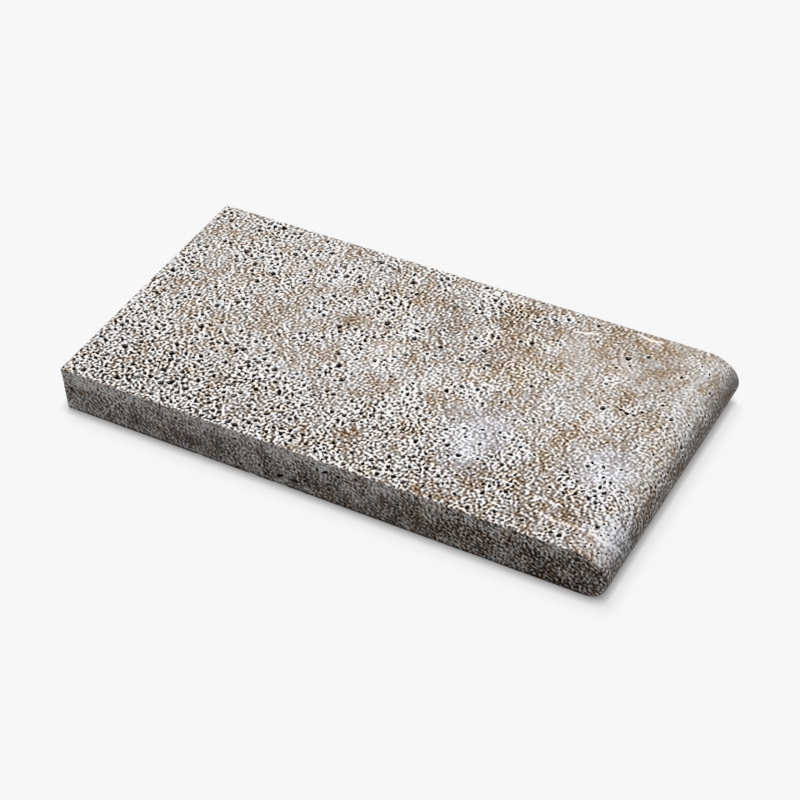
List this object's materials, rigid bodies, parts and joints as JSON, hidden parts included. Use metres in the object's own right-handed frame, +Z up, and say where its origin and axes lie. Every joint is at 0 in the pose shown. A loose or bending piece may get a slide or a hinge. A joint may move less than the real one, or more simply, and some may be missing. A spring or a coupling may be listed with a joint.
{
  "type": "pool coping stone",
  "caption": "Rectangular travertine slab with a flat bed and walking face, and a short end rounded into a nose that overhangs the pool.",
  "frame": {"origin": "middle of the slab's outline in plan, on the bed face", "axes": "+X towards the tip of the nose, +Y across the slab from the joint face nearer the camera to the farther one, +Z up through the thickness"},
  "size_m": [0.6, 0.305, 0.052],
  "materials": {
    "travertine": "unfilled tumbled travertine: matt, speckled pale grey and white over tan and brown, full of small dark natural pits"
  },
  "bodies": {
    "root": {"coping_stone": "travertine"}
  },
  "joints": []
}
